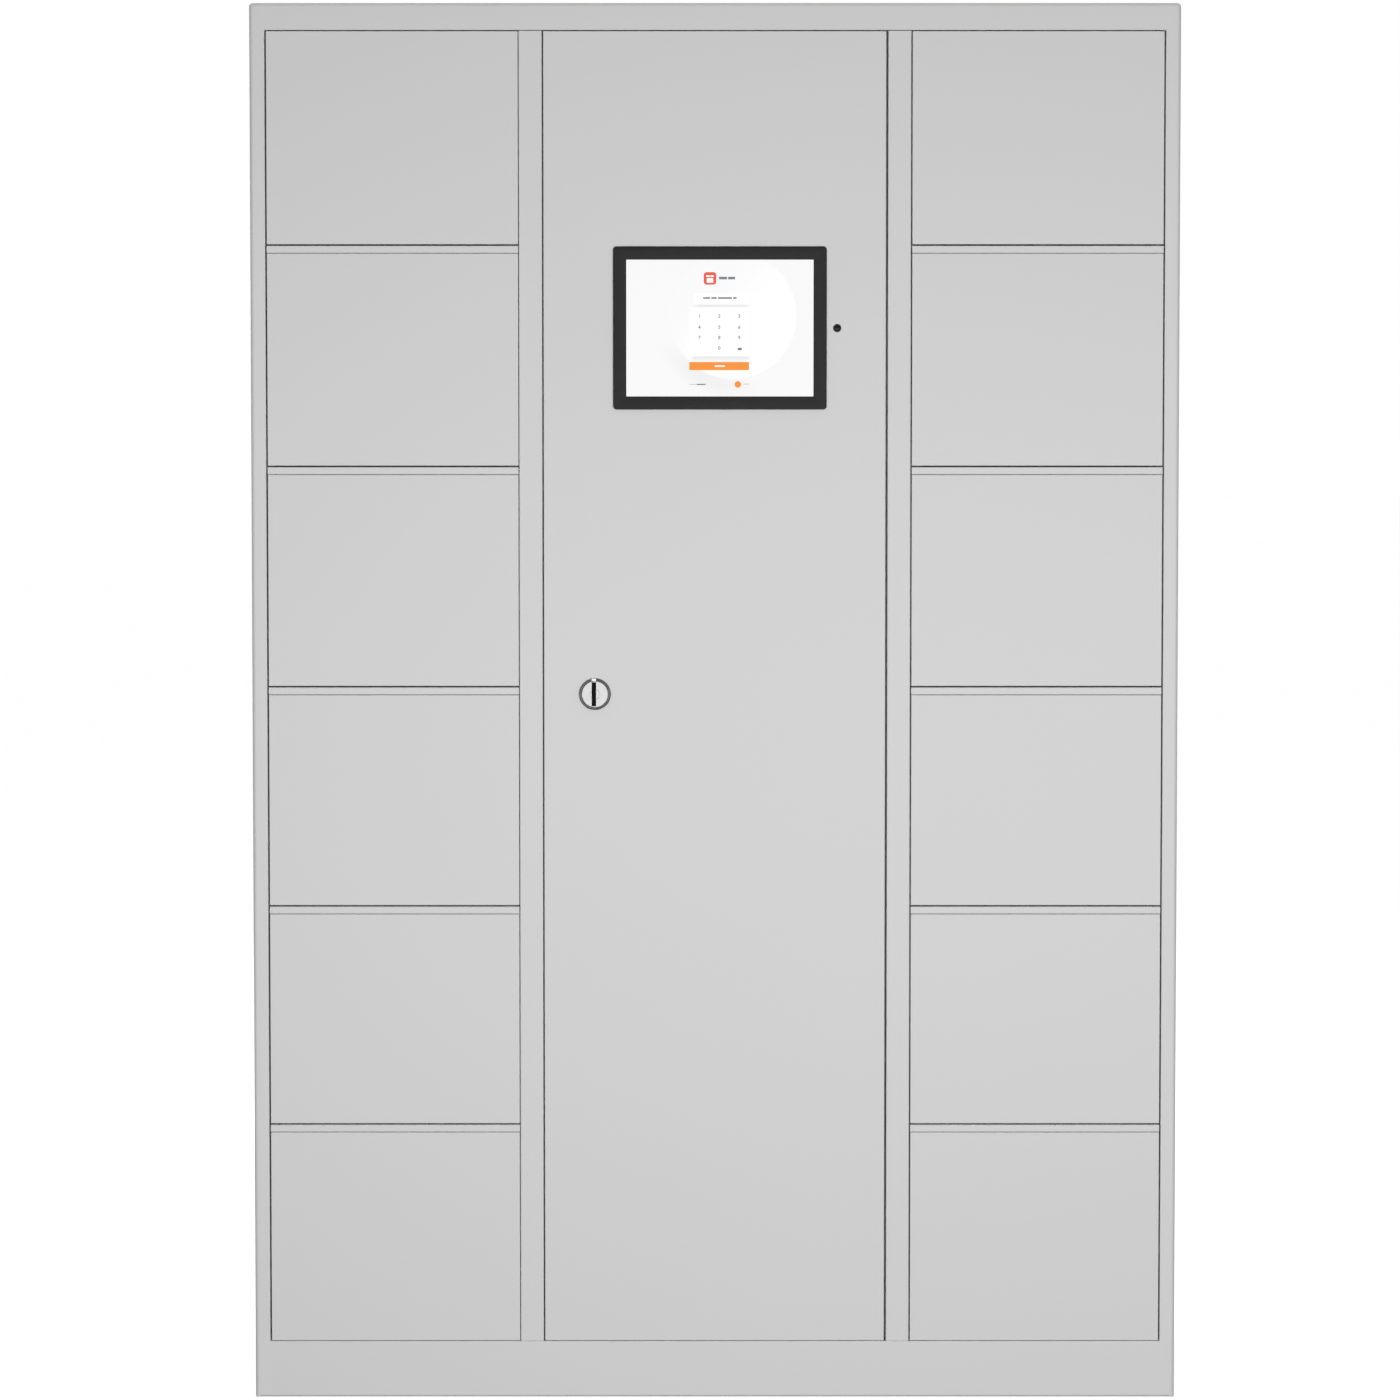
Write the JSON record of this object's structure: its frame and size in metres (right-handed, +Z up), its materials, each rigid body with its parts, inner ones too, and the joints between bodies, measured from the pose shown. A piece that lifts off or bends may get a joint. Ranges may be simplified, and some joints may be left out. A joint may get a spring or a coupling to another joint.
{
  "type": "parcel locker",
  "caption": "Free-standing sheet-steel parcel locker: two banks of small flush doors beside a tall service door with a touch screen, camera and key lock.",
  "frame": {"origin": "middle of the cabinet's footprint, on the floor", "axes": "+X to the right of someone facing the front, -Y the way the doors face, +Z up"},
  "size_m": [1.192, 0.5, 1.8],
  "materials": {
    "powder_coat_grey": "light grey fine-texture powder coat",
    "zinc_steel": "zinc plated",
    "blackened_steel": "blackened and oiled",
    "satin_chrome": "satin",
    "black_plastic": "satin moulded",
    "dark_case": "matt moulded",
    "screen_glass": "glossy lit screen",
    "cable_jacket": "matt jacket"
  },
  "bodies": {
    "root": {"side_panel_left": "powder_coat_grey", "side_panel_right": "powder_coat_grey", "top_panel": "powder_coat_grey", "plinth": "powder_coat_grey", "base_panel": "powder_coat_grey", "back_panel": "powder_coat_grey", "partition_left": "powder_coat_grey", "partition_right": "powder_coat_grey", "shelf_left_1": "powder_coat_grey", "shelf_left_2": "powder_coat_grey", "shelf_left_3": "powder_coat_grey", "shelf_left_4": "powder_coat_grey", "shelf_left_5": "powder_coat_grey", "shelf_right_1": "powder_coat_grey", "shelf_right_2": "powder_coat_grey", "shelf_right_3": "powder_coat_grey", "shelf_right_4": "powder_coat_grey", "shelf_right_5": "powder_coat_grey", "lock_rail_left": "zinc_steel", "lock_rail_right": "zinc_steel", "hinge_rod_left": "blackened_steel", "hinge_rod_right": "blackened_steel", "hinge_rod_service": "blackened_steel", "controller_box": "dark_case", "power_supply": "zinc_steel", "power_inlet": "black_plastic", "wiring_loom_left": "cable_jacket", "wiring_loom_right": "cable_jacket"},
    "door_left_1": {"door_left_1": "powder_coat_grey"},
    "door_left_2": {"door_left_2": "powder_coat_grey"},
    "door_left_3": {"door_left_3": "powder_coat_grey"},
    "door_left_4": {"door_left_4": "powder_coat_grey"},
    "door_left_5": {"door_left_5": "powder_coat_grey"},
    "door_left_6": {"door_left_6": "powder_coat_grey"},
    "door_right_1": {"door_right_1": "powder_coat_grey"},
    "door_right_2": {"door_right_2": "powder_coat_grey"},
    "door_right_3": {"door_right_3": "powder_coat_grey"},
    "door_right_4": {"door_right_4": "powder_coat_grey"},
    "door_right_5": {"door_right_5": "powder_coat_grey"},
    "door_right_6": {"door_right_6": "powder_coat_grey"},
    "bolt_left_1": {"bolt_left_1": "zinc_steel"},
    "bolt_left_2": {"bolt_left_2": "zinc_steel"},
    "bolt_left_3": {"bolt_left_3": "zinc_steel"},
    "bolt_left_4": {"bolt_left_4": "zinc_steel"},
    "bolt_left_5": {"bolt_left_5": "zinc_steel"},
    "bolt_left_6": {"bolt_left_6": "zinc_steel"},
    "bolt_right_1": {"bolt_right_1": "zinc_steel"},
    "bolt_right_2": {"bolt_right_2": "zinc_steel"},
    "bolt_right_3": {"bolt_right_3": "zinc_steel"},
    "bolt_right_4": {"bolt_right_4": "zinc_steel"},
    "bolt_right_5": {"bolt_right_5": "zinc_steel"},
    "bolt_right_6": {"bolt_right_6": "zinc_steel"},
    "service_door": {"service_door": "powder_coat_grey", "tablet_bezel": "black_plastic", "tablet": "screen_glass", "tablet_housing": "zinc_steel", "camera_module": "black_plastic", "lock_housing": "satin_chrome"},
    "key_plug": {"lock_plug": "satin_chrome", "lock_cam": "zinc_steel"}
  },
  "joints": [
    {"name": "door_left_1_hinge", "type": "hinge", "parent": "root", "child": "door_left_1", "pos_m": [-0.5637, -0.24, 1.62815], "axis": [0, 0, -1], "range_deg": [0, 110]},
    {"name": "door_left_2_hinge", "type": "hinge", "parent": "root", "child": "door_left_2", "pos_m": [-0.5637, -0.24, 1.34445], "axis": [0, 0, -1], "range_deg": [0, 110]},
    {"name": "door_left_3_hinge", "type": "hinge", "parent": "root", "child": "door_left_3", "pos_m": [-0.5637, -0.24, 1.06075], "axis": [0, 0, -1], "range_deg": [0, 110]},
    {"name": "door_left_4_hinge", "type": "hinge", "parent": "root", "child": "door_left_4", "pos_m": [-0.5637, -0.24, 0.77705], "axis": [0, 0, -1], "range_deg": [0, 110]},
    {"name": "door_left_5_hinge", "type": "hinge", "parent": "root", "child": "door_left_5", "pos_m": [-0.5637, -0.24, 0.49335], "axis": [0, 0, -1], "range_deg": [0, 110]},
    {"name": "door_left_6_hinge", "type": "hinge", "parent": "root", "child": "door_left_6", "pos_m": [-0.5637, -0.24, 0.20965], "axis": [0, 0, -1], "range_deg": [0, 110]},
    {"name": "door_right_1_hinge", "type": "hinge", "parent": "root", "child": "door_right_1", "pos_m": [0.564, -0.24, 1.62815], "axis": [0, 0, 1], "range_deg": [0, 110]},
    {"name": "door_right_2_hinge", "type": "hinge", "parent": "root", "child": "door_right_2", "pos_m": [0.564, -0.24, 1.34445], "axis": [0, 0, 1], "range_deg": [0, 110]},
    {"name": "door_right_3_hinge", "type": "hinge", "parent": "root", "child": "door_right_3", "pos_m": [0.564, -0.24, 1.06075], "axis": [0, 0, 1], "range_deg": [0, 110]},
    {"name": "door_right_4_hinge", "type": "hinge", "parent": "root", "child": "door_right_4", "pos_m": [0.564, -0.24, 0.77705], "axis": [0, 0, 1], "range_deg": [0, 110]},
    {"name": "door_right_5_hinge", "type": "hinge", "parent": "root", "child": "door_right_5", "pos_m": [0.564, -0.24, 0.49335], "axis": [0, 0, 1], "range_deg": [0, 110]},
    {"name": "door_right_6_hinge", "type": "hinge", "parent": "root", "child": "door_right_6", "pos_m": [0.564, -0.24, 0.20965], "axis": [0, 0, 1], "range_deg": [0, 110]},
    {"name": "lock_left_1_throw", "type": "slide", "parent": "root", "child": "bolt_left_1", "axis": [-1, 0, 0], "range_m": [0, 0.01]},
    {"name": "lock_left_2_throw", "type": "slide", "parent": "root", "child": "bolt_left_2", "axis": [-1, 0, 0], "range_m": [0, 0.01]},
    {"name": "lock_left_3_throw", "type": "slide", "parent": "root", "child": "bolt_left_3", "axis": [-1, 0, 0], "range_m": [0, 0.01]},
    {"name": "lock_left_4_throw", "type": "slide", "parent": "root", "child": "bolt_left_4", "axis": [-1, 0, 0], "range_m": [0, 0.01]},
    {"name": "lock_left_5_throw", "type": "slide", "parent": "root", "child": "bolt_left_5", "axis": [-1, 0, 0], "range_m": [0, 0.01]},
    {"name": "lock_left_6_throw", "type": "slide", "parent": "root", "child": "bolt_left_6", "axis": [-1, 0, 0], "range_m": [0, 0.01]},
    {"name": "lock_right_1_throw", "type": "slide", "parent": "root", "child": "bolt_right_1", "axis": [1, 0, 0], "range_m": [0, 0.01]},
    {"name": "lock_right_2_throw", "type": "slide", "parent": "root", "child": "bolt_right_2", "axis": [1, 0, 0], "range_m": [0, 0.01]},
    {"name": "lock_right_3_throw", "type": "slide", "parent": "root", "child": "bolt_right_3", "axis": [1, 0, 0], "range_m": [0, 0.01]},
    {"name": "lock_right_4_throw", "type": "slide", "parent": "root", "child": "bolt_right_4", "axis": [1, 0, 0], "range_m": [0, 0.01]},
    {"name": "lock_right_5_throw", "type": "slide", "parent": "root", "child": "bolt_right_5", "axis": [1, 0, 0], "range_m": [0, 0.01]},
    {"name": "lock_right_6_throw", "type": "slide", "parent": "root", "child": "bolt_right_6", "axis": [1, 0, 0], "range_m": [0, 0.01]},
    {"name": "service_door_hinge", "type": "hinge", "parent": "root", "child": "service_door", "pos_m": [0.20815, -0.24, 0.91915], "axis": [0, 0, 1], "range_deg": [0, 110]},
    {"name": "key_turn", "type": "hinge", "parent": "service_door", "child": "key_plug", "pos_m": [-0.1546, -0.245, 0.9144], "axis": [0, 1, 0], "range_deg": [0, 90]}
  ]
}
